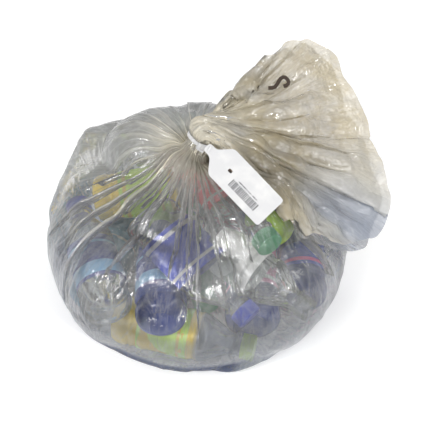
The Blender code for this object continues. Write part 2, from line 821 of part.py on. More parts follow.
def main():
    clear_scene()
    content = bottles()
    film = sack_mesh(content)
    add_object("bag_film", film, material("film", (0.60, 0.59, 0.53), 0.25, 0.35))
    tie_tag(film)
    scrap(film)


main()
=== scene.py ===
import json
import math

import bmesh
import bpy
import numpy as np
from bpy.props import FloatProperty, FloatVectorProperty, IntProperty, PointerProperty
from mathutils import Matrix, Vector, noise
from mathutils.bvhtree import BVHTree
from mathutils.geometry import delaunay_2d_cdt


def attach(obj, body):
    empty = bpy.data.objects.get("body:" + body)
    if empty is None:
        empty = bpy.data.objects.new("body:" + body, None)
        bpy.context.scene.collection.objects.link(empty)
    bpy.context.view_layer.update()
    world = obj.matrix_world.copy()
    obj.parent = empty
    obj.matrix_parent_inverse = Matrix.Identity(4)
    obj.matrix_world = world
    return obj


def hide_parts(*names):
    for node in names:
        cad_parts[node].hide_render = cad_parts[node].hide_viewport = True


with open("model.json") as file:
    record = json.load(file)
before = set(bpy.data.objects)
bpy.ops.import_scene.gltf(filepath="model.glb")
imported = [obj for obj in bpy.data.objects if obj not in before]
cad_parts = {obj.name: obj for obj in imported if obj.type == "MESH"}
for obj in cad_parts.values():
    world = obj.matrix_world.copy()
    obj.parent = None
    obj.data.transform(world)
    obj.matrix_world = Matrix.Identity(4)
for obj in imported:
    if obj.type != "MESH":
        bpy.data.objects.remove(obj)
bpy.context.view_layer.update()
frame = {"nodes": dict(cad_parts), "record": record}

bl_info = {
    "name": "Tied sack of bottles",
    "version": (1, 0, 0),
    "blender": (4, 5, 0),
    "location": "View3D > Sidebar > Sack",
    "description": "Dresses a tied clear sack of empty plastic bottles",
    "category": "Object",
}

FINISH = {entry["slot"]: tuple(entry["base_color"][:3]) for entry in frame["record"]["materials"]}

# The sack's shape, in metres, as the CAD solid has it
BODY_RADIUS = 0.172
FLAT_RADIUS = 0.118
FRONT_TO_BACK = 0.93
HIP_HEIGHT = 0.072
DOME_HEIGHT = 0.094
SPIRE_HEIGHT = 0.026
SPIRE_SPREAD = 0.050
HIP_RINGS = 10
DOME_RINGS = 22
CONTENT_CLEARANCE = 0.0030
WRAP_SPREAD = math.radians(6)
WRAP_FALL = 1.7
WRAP_BATCH = 512
NECK_X = -0.002
NECK_Y = 0.034
NECK_RADIUS = 0.0145
NECK_LENGTH = 0.024
NECK_LEAN = Vector((0.55, 0.35, 0.75)).normalized()
NECK_END = 0.55
NECK_FLARE = 1.16
FAN_THICKNESS = 0.026
FAN_PLEATS = 9
FAN_PLEAT_DEPTH = 0.0055
FAN_ROWS = 18
FAN_REST_GAP = 0.0035
FAN_LEAST_GAP = 0.006
FAN_HEM = (
    (0.094, -0.056, 0.160),
    (0.150, -0.060, 0.126),
    (0.190, -0.034, 0.106),
    (0.218, 0.030, 0.116),
    (0.200, 0.074, 0.143),
    (0.177, 0.112, 0.175),
    (0.160, 0.152, 0.206),
    (0.120, 0.166, 0.229),
    (0.080, 0.138, 0.229),
)

# Where air holds the film out in a corner, in metres
FILM_CORNERS = np.array([
    (-0.134, 0.119, 0.128), (-0.142, 0.110, 0.100), (-0.060, 0.150, 0.112),
    (-0.166, 0.075, 0.085), (-0.173, 0.035, 0.080), (-0.172, 0.0, 0.070),
])
# The film's grid: columns before it is made finer, the distance from row to row, and the columns of one pleat
COARSE_COLUMNS = 108
ROW_SPACING = 0.0032
PLEAT_COLUMNS = 11
# How far the film keeps from the bottles, how far its rings and its points stay above the ground, and how far
# its relief keeps from the scrap
FILM_CLEARANCE = 0.0012
RING_CLEARANCE = 0.0004
GROUND_CLEARANCE = 0.0003
SCRAP_ROOM = 0.016
# The creased facets, coarse, fine and on the loose top, as radians round the sack by metres from the tie
FACET_SIZES = ((0.30, 0.040), (0.11, 0.017), (0.42, 0.036))

# The directions that the tag's flag runs and faces in
FLAG_ALONG = Vector((0.690, -0.552, -0.463)).normalized()
FLAG_FACING = Vector((0.0, -0.643, 0.766)).normalized()

# The bottles' shapes: length and radius in metres, and heights as shares of the length
SIZES = {"small": (0.162, 0.0285), "half": (0.205, 0.0325)}
FINISH_RADIUS = 0.0132
MOUTH_RADIUS = 0.0109
FINISH_LENGTH = 0.022
SHOULDER_START = 0.62
LABEL_START = 0.20
LABEL_END = 0.56

# name, size, crush, tint, label and cap finish (None where the cap is lost), and colour of the label's bands
BOTTLES = (
    ("front_lemon", "small", 0.0, "lemon", "lime", "lime", "yellow"),
    ("floor_navy", "half", 0.0, "navy", "pink", "white", "white"),
    ("right_navy", "small", 0.0, "navy", "blue", "teal", "pink"),
    ("left_sky", "small", 0.0, "sky", "sky", "white", "white"),
    ("floor_green", "small", 0.0, "green", "white", "green", "blue"),
    ("back_clear", "small", 0.0, "clear", "teal", "white", "white"),
    ("left_clear", "small", 0.0, "clear", "navy", "blue", "sky"),
    ("front_navy", "small", 0.0, "navy", "navy", "lime", "sky"),
    ("front_open", "small", 0.0, "clear", "white", None, "white"),
    ("right_lime", "small", 0.0, "lime", "lime", "red", "yellow"),
    ("left_lemon", "small", 0.0, "lemon", "lime", "lime", "yellow"),
    ("back_cream", "small", 0.0, "clear", "teal", "cream", "white"),
    ("middle_red", "small", 0.5, "clear", "red", "green", "white"),
    ("middle_blue", "small", 0.5, "clear", "blue", "blue", "white"),
)
BAND_COLOURS = {
    "white": (0.72, 0.72, 0.70),
    "yellow": (0.85, 0.66, 0.08),
    "pink": (0.80, 0.10, 0.34),
    "sky": (0.22, 0.44, 0.66),
    "blue": (0.10, 0.16, 0.50),
}
WHITE = (1.0, 1.0, 1.0, 1.0)
SCRAP_COLOUR = (0.045, 0.028, 0.018)

# The stage: each lamp's name, place, size in metres and power in watts, and the strengths of the room's light
LAMPS = (
    ("key", (-0.7, -1.1, 1.25), 0.7, 10.5),
    ("fill", (0.9, -0.5, 1.1), 0.6, 3.0),
    ("glint_left", (-0.75, -0.75, 1.0), 0.09, 4.0),
    ("glint_right", (0.55, -1.0, 0.9), 0.09, 4.0),
    ("glint_back", (0.2, 0.9, 1.2), 0.12, 2.0),
)
LAMP_AIM = Vector((0, 0, 0.1))
CAMERA_AIM = Vector((0.0207, 0.0106, 0.1039))
ROOM_LIGHT = 0.64
ROOM_SEEN = 0.97
GLOSS_DIMMING = 0.20
FLOOR_LIFT = 0.20


# What a user would change


def colour_setting(name, description, default):
    return FloatVectorProperty(
        name=name, description=description, subtype="COLOR", size=3, min=0.0, max=1.0, default=default,
    )


def length_setting(name, description, most, default):
    return FloatProperty(
        name=name, description=description, unit="LENGTH", subtype="DISTANCE", min=0.0, max=most, default=default,
    )


class SackSettings(bpy.types.PropertyGroup):
    film_colour: colour_setting("Film colour", "Colour of the film's haze", (0.80, 0.80, 0.79))
    cool_colour: colour_setting(
        "Low colour", "Colour of the film low down and at the hem's corner", (0.48, 0.60, 0.76),
    )
    # Painted shade: the dark colour laid where shade falls, on the folds under the sack's left side, round its
    # bottom and at the loose top's low corner
    under_colour: colour_setting(
        "Under colour", "Colour of the folds under the sack's left side", (0.09, 0.11, 0.19),
    )
    cream_colour: colour_setting(
        "Gathered colour", "Colour of the film where it's gathered", (0.95, 0.87, 0.68),
    )
    mouth_colour: colour_setting("Mouth colour", "Colour of the loose top, which is soiled", (0.50, 0.41, 0.23))
    haze: FloatProperty(
        name="Haze", description="How much one layer of film hides", subtype="FACTOR",
        min=0.0, max=1.0, default=0.03,
    )
    pleat_height: length_setting("Pleat height", "How far the pleats stand up from the film", 0.02, 0.0055)
    pleat_breadth: FloatProperty(
        name="Pleat breadth", description="Most columns that a pleat lies over to either side",
        min=0.0, max=5.0, default=4.6,
    )
    facet_height: length_setting(
        "Facet height", "How far the creased facets stand out from the film", 0.02, 0.0045,
    )
    columns: IntProperty(
        name="Columns", description="Points of film round the sack", min=108, max=480, default=396,
    )


class BottleSettings(bpy.types.PropertyGroup):
    segments: IntProperty(
        name="Segments", description="Faces round a bottle", min=24, max=96, default=48,
    )
    rib_depth: length_setting("Rib depth", "Depth of the ribs pressed into a bottle", 0.004, 0.0013)
    dent_depth: length_setting("Dent depth", "How far an empty bottle's wall is dented", 0.006, 0.0020)


class TagSettings(bpy.types.PropertyGroup):
    tag_colour: colour_setting("Tag colour", "Colour of the moulded tie tag", (0.56, 0.56, 0.565))
    ink_colour: colour_setting("Ink colour", "Colour of the plain bars printed on the tag", (0.07, 0.07, 0.08))


class StageSettings(bpy.types.PropertyGroup):
    floor_colour: colour_setting("Floor colour", "Colour of the floor", (0.93, 0.93, 0.93))
    elevation: FloatProperty(
        name="Camera height", description="Angle of the camera above the floor", subtype="ANGLE",
        unit="ROTATION", min=0.0, max=1.5, default=math.radians(50),
    )
    distance: FloatProperty(
        name="Camera distance", description="From the camera to the sack", unit="LENGTH",
        subtype="DISTANCE", min=0.2, max=5.0, default=1.17,
    )


# Making and finishing pieces


def deselect_all():
    if bpy.context.object and bpy.context.object.mode != "OBJECT":
        bpy.ops.object.mode_set(mode="OBJECT")
    bpy.ops.object.select_all(action="DESELECT")


def finished(piece, name, finish, node_name):
    """Names a piece, puts its place in its mesh, gives it its material and hangs it on the CAD body."""
    piece.name = name
    piece.data.name = name
    piece.data.transform(piece.matrix_world)
    piece.matrix_world = Matrix.Identity(4)
    set_material(piece, finish)
    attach(piece, "root")
    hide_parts(node_name)


def set_material(piece, finish):
    piece.data.materials.clear()
    piece.data.materials.append(finish)


def copy_of(master, name):
    made = master.copy()
    made.data = master.data.copy()
    made.name = name
    bpy.context.scene.collection.objects.link(made)
    return made


def smoothstep(x):
    x = np.clip(x, 0.0, 1.0)
    return x * x * (3 - 2 * x)


def points_of(mesh):
    points = np.zeros(len(mesh.vertices) * 3)
    mesh.vertices.foreach_get("co", points)
    return points.reshape(-1, 3)


def set_points(mesh, points):
    mesh.vertices.foreach_set("co", np.asarray(points, dtype=np.float32).ravel())
    mesh.update()


# Materials


def blank_material(name):
    made = bpy.data.materials.new(name)
    made.use_nodes = True
    made.node_tree.nodes.clear()
    return made, made.node_tree


def node(tree, kind, values=None, **settings):
    made = tree.nodes.new("ShaderNode" + kind)
    for key, value in settings.items():
        setattr(made, key, value)
    for key, value in (values or {}).items():
        socket = made.inputs[key]
        if isinstance(value, bpy.types.NodeSocket):
            tree.links.new(value, socket)
        else:
            socket.default_value = value
    return made


def sums(tree, operation, first, second=0.0, clamp=False):
    return node(tree, "Math", {0: first, 1: second}, operation=operation, use_clamp=clamp).outputs[0]


def times(tree, first, second, clamp=False):
    return sums(tree, "MULTIPLY", first, second, clamp)


def plus(tree, first, *others, clamp=False):
    for place, other in enumerate(others, 1):
        first = sums(tree, "ADD", first, other, clamp and place == len(others))
    return first


def between(tree, value, low, high):
    """1 where the value lies between low and high, and 0 elsewhere."""
    return times(tree, sums(tree, "GREATER_THAN", value, low), sums(tree, "LESS_THAN", value, high))


def vectors(tree, operation, first, second):
    return node(tree, "VectorMath", {0: first, 1: second}, operation=operation).outputs


def colour_mix(tree, factor, first, second):
    made = node(tree, "Mix", {"Factor": factor}, data_type="RGBA", blend_type="MIX")
    for socket, value in ((made.inputs[6], first), (made.inputs[7], second)):
        if isinstance(value, bpy.types.NodeSocket):
            tree.links.new(value, socket)
        else:
            socket.default_value = (*value, 1.0)
    return made.outputs[2]


def ramp(tree, value, low, high):
    """0 below low, 1 above high, and straight between them."""
    made = node(tree, "MapRange", {"Value": value, "From Min": low, "From Max": high}, clamp=True)
    return made.outputs["Result"]


def attribute(tree, name, output="Fac"):
    return node(tree, "Attribute", attribute_name=name).outputs[output]


def object_place(tree):
    return node(tree, "TexCoord").outputs["Object"]


def cloudy(tree, place, scale, detail, roughness=0.5, output="Fac"):
    """Noise at so many features a metre."""
    values = {"Vector": place, "Scale": scale, "Detail": detail, "Roughness": roughness}
    return node(tree, "TexNoise", values).outputs[output]


def bumped(tree, height, strength, distance):
    return node(tree, "Bump", {"Height": height, "Strength": strength, "Distance": distance}).outputs["Normal"]


def facing(tree, blend, bump):
    return node(tree, "LayerWeight", {"Blend": blend, "Normal": bump}).outputs["Facing"]


def fresnel(tree, ior, bump):
    return node(tree, "Fresnel", {"IOR": ior, "Normal": bump}).outputs[0]


def shader_mix(tree, factor, first, second):
    return node(tree, "MixShader", {0: factor, 1: first, 2: second}).outputs[0]


def close_material(tree, shader):
    tree.links.new(shader, node(tree, "OutputMaterial").inputs["Surface"])


def close_glossy(tree, body, mirror, roughness, bump):
    """Ends a see-through material: its body under a white gloss."""
    gloss = node(tree, "BsdfGlossy", {"Color": WHITE, "Roughness": roughness, "Normal": bump}).outputs[0]
    close_material(tree, shader_mix(tree, mirror, body, gloss))


def close_solid(tree, tone, rough, bump):
    """Ends the material of a solid plastic."""
    values = {"Base Color": tone, "Roughness": rough, "Normal": bump}
    close_material(tree, node(tree, "BsdfPrincipled", values).outputs[0])


def film_relief(tree, place, lines, streaks, soil):
    """Creases that run with the pleats, patches of fine crinkles, and dents where the film is soiled."""
    warp = cloudy(tree, place, 30.0, 2.0, output="Color")
    shift = node(tree, "VectorMath", {0: warp, "Scale": 0.03}, operation="SCALE").outputs[0]
    bent = vectors(tree, "ADD", place, shift)[0]
    cells = ramp(tree, cloudy(tree, bent, 150.0, 3.0, 0.7), 0.30, 0.70)
    patches = ramp(tree, cloudy(tree, place, 17.0, 2.0), 0.50, 0.68)
    dents, small_dents = (
        node(tree, "TexVoronoi", {"Vector": bent, "Scale": scale}).outputs["Distance"] for scale in (75.0, 190.0)
    )
    dented = times(tree, plus(tree, times(tree, dents, 2.4), small_dents), plus(tree, 0.15, soil))
    return plus(
        tree,
        times(tree, ramp(tree, lines, 0.0, 0.16), 0.9),
        times(tree, streaks, 1.6),
        times(tree, times(tree, cells, patches), 1.2),
        times(tree, dented, 1.3),
    )


def film_tone(tree, settings, place, soil, painted_shade):
    """From clear film through cream to the soiled mouth's brown, then cool and mottled, with shade painted on
    underneath.
    """
    doubled = times(tree, soil, 2.0)
    soiled = sums(tree, "SUBTRACT", doubled, 1.0, clamp=True)
    mottle = times(tree, ramp(tree, cloudy(tree, place, 34.0, 5.0), 0.40, 0.75), 0.55)
    tone = colour_mix(tree, times(tree, soil, 2.0, clamp=True), settings.film_colour, settings.cream_colour)
    tone = colour_mix(tree, soiled, tone, settings.mouth_colour)
    tone = colour_mix(tree, attribute(tree, "cool"), tone, settings.cool_colour)
    tone = colour_mix(tree, mottle, tone, (0.66, 0.66, 0.65))
    # Painted shade, laid over the tone where shade falls under the sack
    return colour_mix(tree, painted_shade, tone, settings.under_colour)


def film_material(settings):
    """Thin polythene: a hazy see-through layer with a gloss that breaks up on streaks and crinkles."""
    made, tree = blank_material("sack_film")
    place = object_place(tree)
    soil, painted_shade = attribute(tree, "soil"), attribute(tree, "painted_shade")
    course = attribute(tree, "course", "Vector")
    cells = {"Vector": vectors(tree, "MULTIPLY", course, (17.0, 17.0, 3.5))[0], "Scale": 1.0}
    lines = node(tree, "TexVoronoi", cells, feature="DISTANCE_TO_EDGE").outputs["Distance"]
    streaks = cloudy(tree, vectors(tree, "MULTIPLY", course, (30.0, 30.0, 12.0))[0], 1.0, 4.0, 0.6)
    bump = bumped(tree, film_relief(tree, place, lines, streaks, soil), 0.5, 0.0012)

    crease = sums(tree, "SUBTRACT", 1.0, ramp(tree, lines, 0.0, 0.06))
    hidden = plus(
        tree,
        settings.haze,
        times(tree, attribute(tree, "haze"), 0.70),
        times(tree, sums(tree, "SUBTRACT", streaks, 0.5), 0.34),
        times(tree, crease, 0.10),
        times(tree, facing(tree, 0.30, bump), 0.15),
        clamp=True,
    )
    tone = film_tone(tree, settings, place, soil, painted_shade)
    solid, glow = (
        node(tree, kind, {"Color": tone, "Normal": bump}).outputs[0] for kind in ("BsdfDiffuse", "BsdfTranslucent")
    )
    clear = node(tree, "BsdfTransparent", {"Color": (0.97, 0.97, 0.975, 1.0)}).outputs[0]
    body = shader_mix(tree, hidden, clear, shader_mix(tree, 0.35, solid, glow))
    # The gloss is dimmed where shade is painted, so that the painted shade stays dark
    gloss_outside_painted_shade = sums(tree, "SUBTRACT", 1.0, times(tree, painted_shade, 0.75))
    close_glossy(tree, body, times(tree, fresnel(tree, 1.7, bump), gloss_outside_painted_shade), 0.11, bump)
    return made


def lifted(colour):
    """A content's colour made up for what the film in front takes away: more for warm ones than for blues."""
    lift = 1.7 if colour[0] > colour[2] else 0.85
    return tuple(channel * min(lift, 0.98 / max(colour)) for channel in colour)


def bottle_material(tint, colour):
    """Blown plastic: a tinted see-through wall with a hard gloss, a little haze and scuffs."""
    made, tree = blank_material("bottle_" + tint)
    place = object_place(tree)
    bump = bumped(tree, cloudy(tree, place, 45.0, 2.0), 0.35, 0.002)
    if tint == "clear":
        pale, base = tuple(0.25 + 0.75 * channel**0.5 for channel in colour), 0.08
    else:
        pale, base = tuple(channel**0.6 for channel in colour), 0.72
    through, bright = (*pale, 1.0), (*lifted(colour), 1.0)
    if tint == "lemon":
        # A full sleeve reaches the shoulder, and the plastic past it is bare and bluish
        bare = ramp(tree, attribute(tree, "along"), 0.60, 0.64)
        through = colour_mix(tree, bare, pale, (0.62, 0.70, 0.80))
        bright = colour_mix(tree, bare, lifted(colour), (0.16, 0.20, 0.27))
        base = sums(tree, "SUBTRACT", 0.95, times(tree, bare, 0.50))
    clear = node(tree, "BsdfTransparent", {"Color": through}).outputs[0]
    wall = node(tree, "BsdfDiffuse", {"Color": bright, "Normal": bump}).outputs[0]
    edge_on = times(tree, facing(tree, 0.4, bump), 0.40)
    scuffs = times(tree, ramp(tree, cloudy(tree, place, 120.0, 4.0), 0.55, 0.8), 0.12)
    body = shader_mix(tree, plus(tree, base, edge_on, scuffs, clamp=True), clear, wall)
    close_glossy(tree, body, fresnel(tree, 1.55, bump), 0.08, bump)
    return made


def label_material(name, colour, light):
    """A printed sleeve: a plain colour with two generic bands and a soft wrinkle."""
    made, tree = blank_material(name)
    along = attribute(tree, "along")
    wrinkle = cloudy(tree, object_place(tree), 70.0, 3.0)
    lower_end = 0.36 if light == BAND_COLOURS["sky"] else 0.16
    band = plus(tree, between(tree, along, 0.08, lower_end), between(tree, along, 0.80, 0.86), clamp=True)
    tone = colour_mix(tree, band, lifted(colour), light)
    tone = colour_mix(tree, times(tree, ramp(tree, wrinkle, 0.4, 0.8), 0.15), tone, (0.6, 0.6, 0.6))
    close_solid(tree, tone, ramp(tree, wrinkle, 0.0, 2.0), bumped(tree, wrinkle, 0.3, 0.0015))
    return made


def clouded(tree, roughness, grain_strength):
    """The faint clouds, the roughness and the grain that every moulding has."""
    place = object_place(tree)
    clouds = cloudy(tree, place, 60.0, 4.0)
    grain = cloudy(tree, place, 900.0, 2.0)
    rough = plus(tree, roughness - 0.08, times(tree, clouds, 0.16))
    return ramp(tree, clouds, 0.45, 0.8), rough, bumped(tree, grain, grain_strength, 0.0003)


def moulded_material(name, colour, roughness=0.35):
    """Moulded plastic: even colour with faint clouding, fine grain and handling marks."""
    made, tree = blank_material(name)
    clouds, rough, bump = clouded(tree, roughness, 0.15)
    worn = tuple(0.82 * channel for channel in colour)
    close_solid(tree, colour_mix(tree, clouds, colour, worn), rough, bump)
    return made


def tag_material(settings):
    """White moulded plastic with a strip of plain printed bars along the flag."""
    made, tree = blank_material("tag_plastic")
    place = object_place(tree)
    points = points_of(frame["nodes"]["tie_tag"].data)
    across_way = FLAG_FACING.cross(FLAG_ALONG).normalized()
    run = points @ np.array(FLAG_ALONG)
    end = float(run.max())
    sides = points[run > end - 0.050] @ np.array(across_way)
    middle = float((sides.max() + sides.min()) / 2)

    def measured(way, start):
        return sums(tree, "SUBTRACT", vectors(tree, "DOT_PRODUCT", place, way)["Value"], start)

    def chance(count):
        """A random value for each step of a running count."""
        step = sums(tree, "FLOOR", count)
        return node(tree, "TexWhiteNoise", {"W": step}, noise_dimensions="1D").outputs["Value"]

    # A strip of bars of uneven width, and a thin broken rule beside it
    along, across = measured(FLAG_ALONG, end - 0.052), measured(across_way, middle - 0.0118)
    pitch = sums(tree, "DIVIDE", along, 0.0019)
    wide = plus(tree, 0.35, times(tree, chance(pitch), 0.45))
    bars = sums(tree, "LESS_THAN", sums(tree, "FRACT", pitch), wide)
    strip = times(tree, between(tree, along, 0.0, 0.038), between(tree, across, 0.0, 0.0085))
    rule = times(tree, between(tree, along, 0.006, 0.032), between(tree, across, 0.0100, 0.0112))
    broken = sums(tree, "GREATER_THAN", chance(sums(tree, "DIVIDE", along, 0.0009)), 0.35)
    ink = plus(tree, times(tree, strip, bars), times(tree, rule, broken), clamp=True)

    clouds, rough, bump = clouded(tree, 0.40, 0.12)
    plain = colour_mix(tree, times(tree, clouds, 0.5), settings.tag_colour, (0.78, 0.77, 0.74))
    close_solid(tree, colour_mix(tree, ink, plain, settings.ink_colour), rough, bump)
    return made


# The sack's film


def dome_height(radius):
    return HIP_HEIGHT + DOME_HEIGHT * np.sqrt(np.clip(1 - (radius / BODY_RADIUS) ** 2, 0, 1))


def film_height(radius):
    return dome_height(radius) + SPIRE_HEIGHT * np.exp(-radius / SPIRE_SPREAD)


def ring_axes(normal):
    first = (Vector((1, 0, 0)) - normal * normal.x).normalized()
    return np.array(first), np.array(normal.cross(first))


def circle(angle, across, along, depth=1.0):
    return np.cos(angle)[:, None] * across + depth * np.sin(angle)[:, None] * along


def content_meshes():
    """The CAD meshes of every bottle, label and cap."""
    for name, *_ in BOTTLES:
        for part in ("_body", "_label", "_cap"):
            if name + part in frame["nodes"]:
                yield frame["nodes"][name + part].data


def contents_cloud():
    """Points over everything in the sack, close enough to hold the film up."""
    cloud = []
    for mesh in content_meshes():
        points = points_of(mesh)
        pairs = np.zeros(len(mesh.edges) * 2, dtype=int)
        mesh.edges.foreach_get("vertices", pairs)
        pairs = pairs.reshape(-1, 2)
        for share in (0.0, 0.25, 0.5, 0.75):
            cloud.append(points[pairs[:, 0]] * (1 - share) + points[pairs[:, 1]] * share)
    return np.unique(np.round(np.vstack(cloud), 3), axis=0)


def off_contents(points):
    """How far each point of the film is from the nearest bottle, label or cap."""
    parts = bmesh.new()
    for mesh in content_meshes():
        parts.from_mesh(mesh)
    tree = BVHTree.FromBMesh(parts)
    parts.free()
    found = [tree.find_nearest(Vector(point))[3] for point in points.reshape(-1, 3).tolist()]
    return np.array(found).reshape(points.shape[:2])


def body_rings(angle):
    """Rings of the filled body, from the ground to below the neck, and how freely each may be pushed out."""
    rings = [(0.004, 0.0, 1.0)]
    for share in (0.17, 0.34, 0.51, 0.68, 0.85, 1.0):
        rings.append((FLAT_RADIUS * share, 0.0, 1.0))
    for step in range(1, HIP_RINGS + 1):
        turn = math.pi / 2 * step / HIP_RINGS
        radius = FLAT_RADIUS + (BODY_RADIUS - FLAT_RADIUS) * math.sin(turn)
        rings.append((radius, HIP_HEIGHT * (1 - math.cos(turn)), 1.0))
    last_turn = math.acos(NECK_RADIUS * 1.25 / BODY_RADIUS)
    for step in range(1, DOME_RINGS + 1):
        radius = BODY_RADIUS * math.cos(last_turn * (step / DOME_RINGS) ** 0.92)
        free = float(np.interp(step / DOME_RINGS, (0.82, 0.91, 1.0), (1.0, 0.9, 0.1)))
        rings.append((radius, float(film_height(radius)), free))
    points, freedom = [], []
    for radius, height, free in rings:
        # Above the hips the rings move back towards the neck, and the last ones tilt to meet it
        on_top = height > HIP_HEIGHT
        lean = (1 - radius / BODY_RADIUS) if on_top else 0.0
        tilt = float(smoothstep((0.055 - radius) / 0.040)) if on_top else 0.0
        across, along = ring_axes(Vector((0, 0, 1)).lerp(NECK_LEAN, tilt).normalized())
        centre = np.array((NECK_X * lean, NECK_Y * lean, height))
        depth = 1 + (FRONT_TO_BACK - 1) * min(1.0, radius / FLAT_RADIUS)
        points.append(centre + radius * circle(angle, across, along, depth))
        freedom.append(np.full(len(angle), free))
    return np.array(points), np.array(freedom)


def stretched(way, content):
    """How far from the middle the film is, in each direction, where it is pulled straight.

    It runs from bottle to bottle, and from the highest bottles up to the tie.
    """
    hull = bmesh.new()
    for point in np.vstack([content, neck_rings(2 * math.pi * np.arange(54) / 54)[0]]):
        hull.verts.new(point)
    bmesh.ops.convex_hull(hull, input=hull.verts)
    tree = BVHTree.FromBMesh(hull)
    hull.free()
    middle = Vector((0, 0, HIP_HEIGHT))
    return np.array([tree.ray_cast(middle, Vector(heading))[3] or 0.0 for heading in way.tolist()])


def wrapped(points, freedom, content, corners):
    """Ring points pushed out to the bottles, and straight across from bottle to bottle."""
    middle = np.array((0.0, 0.0, HIP_HEIGHT))
    reach = content - middle
    far = np.linalg.norm(reach, axis=1)
    heading = (reach / far[:, None]).astype(np.float32)
    flat = points.reshape(-1, 3) - middle
    size = np.linalg.norm(flat, axis=1)
    way = (flat / size[:, None]).astype(np.float32)
    needed = np.zeros(len(way))
    for start in range(0, len(way), WRAP_BATCH):
        batch = slice(start, start + WRAP_BATCH)
        apart = np.arccos(np.clip(way[batch] @ heading.T, -1, 1))
        slack = np.clip(WRAP_FALL * (apart - WRAP_SPREAD), 0, math.pi / 2)
        needed[batch] = ((far + CONTENT_CLEARANCE) * np.cos(slack)).max(1)
    needed = np.maximum(needed, stretched(way, np.concatenate([content, corners])) + FILM_CLEARANCE)
    push = np.clip(needed - size, 0, None) * freedom.ravel()
    out = middle + way * (size + push)[:, None]
    out[:, 2] = np.maximum(out[:, 2], RING_CLEARANCE)
    return out.reshape(points.shape)


def tie_centre():
    return Vector((NECK_X, NECK_Y, float(film_height(NECK_RADIUS)))) + NECK_LEAN * 0.010


def neck_rings(angle):
    """Rings of the gathered neck, as shares of its length and of its radius."""
    across, along = ring_axes(NECK_LEAN)
    start = np.array(tie_centre())
    points = []
    for share, swell in ((-0.12, 1.04), (0.0, 0.98), (0.28, 0.98), (NECK_END, NECK_FLARE)):
        centre = start + np.array(NECK_LEAN) * NECK_LENGTH * share
        points.append(centre + NECK_RADIUS * swell * circle(angle, across, along))
    return np.array(points)


def cubic(before, first, second, after, t):
    """A Catmull-Rom curve from first to second, read at t from 0 to 1."""
    return 0.5 * (
        2 * first
        + (second - before) * t
        + (2 * before - 5 * first + 4 * second - after) * t**2
        + (3 * first - before - 3 * second + after) * t**3
    )


def curve_through(points, share):
    """A smooth curve through the points, read at shares of its length from 0 to 1."""
    known = np.array(points)
    known = np.vstack([2 * known[0] - known[1], known, 2 * known[-1] - known[-2]])
    at = np.clip(share, 0, 1) * (len(points) - 1)
    index = np.minimum(at.astype(int), len(points) - 2)
    return cubic(*(known[index + k] for k in range(4)), (at - index)[:, None])


def pleat_wave(angle, count):
    wave = 0.5 + 0.5 * np.cos(count * angle + 0.9 * np.sin(3 * angle) + 0.6 * np.sin(5 * angle + 1))
    return wave**1.6


def fan_share(angle):
    """Where on the hem's line a column of the loose top ends, from 0 to 1."""
    return 0.5 + np.arcsin(np.clip(np.sin(angle), -1, 1)) / math.pi


def fan_rings(angle):
    """The loose top: two layers of film that spread out from the neck to the hem."""
    across, along = ring_axes(NECK_LEAN)
    root = np.array(tie_centre() + NECK_LEAN * NECK_LENGTH * NECK_END)
    share = fan_share(angle)
    layer = -np.cos(angle)
    corners = np.array(FAN_HEM)
    spans = len(FAN_HEM) - 1
    straight = np.stack([np.interp(share * spans, np.arange(spans + 1), corners[:, axis]) for axis in range(3)], 1)
    hem = 0.35 * curve_through(FAN_HEM, share) + 0.65 * straight
    after, before = (curve_through(FAN_HEM, np.clip(share + step, 0, 1)) for step in (0.02, -0.02))
    ray = hem - root
    normal = np.cross(ray, after - before)
    normal /= np.linalg.norm(normal, axis=1)[:, None]
    ragged = 1 + 0.015 * np.sin(7 * angle + 0.5) + 0.01 * np.sin(12 * angle)
    points = []
    for step in range(1, FAN_ROWS + 1):
        v = step / FAN_ROWS
        # A widening tube at first, and two sheets that lie apart from there on
        opened = float(smoothstep(v / 0.55))
        tube_radius = NECK_RADIUS * (NECK_FLARE + 1.6 * v)
        tube = root + np.array(NECK_LEAN) * 0.035 * v + tube_radius * circle(angle, across, along)
        apart = FAN_THICKNESS / 2 * (0.65 + 0.35 * math.sin(math.pi * v)) * np.sign(layer) * np.abs(layer) ** 0.6
        fold = FAN_PLEAT_DEPTH * pleat_wave(2 * math.pi * share, FAN_PLEATS) * math.sin(math.pi * min(v, 0.8))
        fan = root + ray * (v * ragged)[:, None] + normal * (apart + fold)[:, None]
        points.append(tube * (1 - opened) + fan * opened)
    return np.array(points)


def ring_faces(rows, columns):
    row, column = np.meshgrid(np.arange(rows - 1), np.arange(columns), indexing="ij")
    beside = (column + 1) % columns
    low, high = row * columns, (row + 1) * columns
    return np.stack([low + column, low + beside, high + beside, high + column], -1).reshape(-1, 4)


def rested(fan, body):
    """Lifts what of the loose top would lie in the filled body, both layers of a column together."""
    tree = BVHTree.FromPolygons(body.reshape(-1, 3).tolist(), ring_faces(*body.shape[:2]).tolist())
    fan = fan.copy()
    for row in fan[1:]:
        for column, point in enumerate(row):
            opposite = row[(len(row) // 2 - column) % len(row)]
            low, high = (point, opposite) if point[2] < opposite[2] else (opposite, point)
            hit = tree.ray_cast(Vector((low[0], low[1], 1.0)), Vector((0, 0, -1)))[0]
            if hit is None:
                continue
            lift = hit.z + FAN_REST_GAP - low[2]
            if lift > 0:
                low[2] += lift
                high[2] = max(high[2], low[2] + FAN_LEAST_GAP)
    return fan


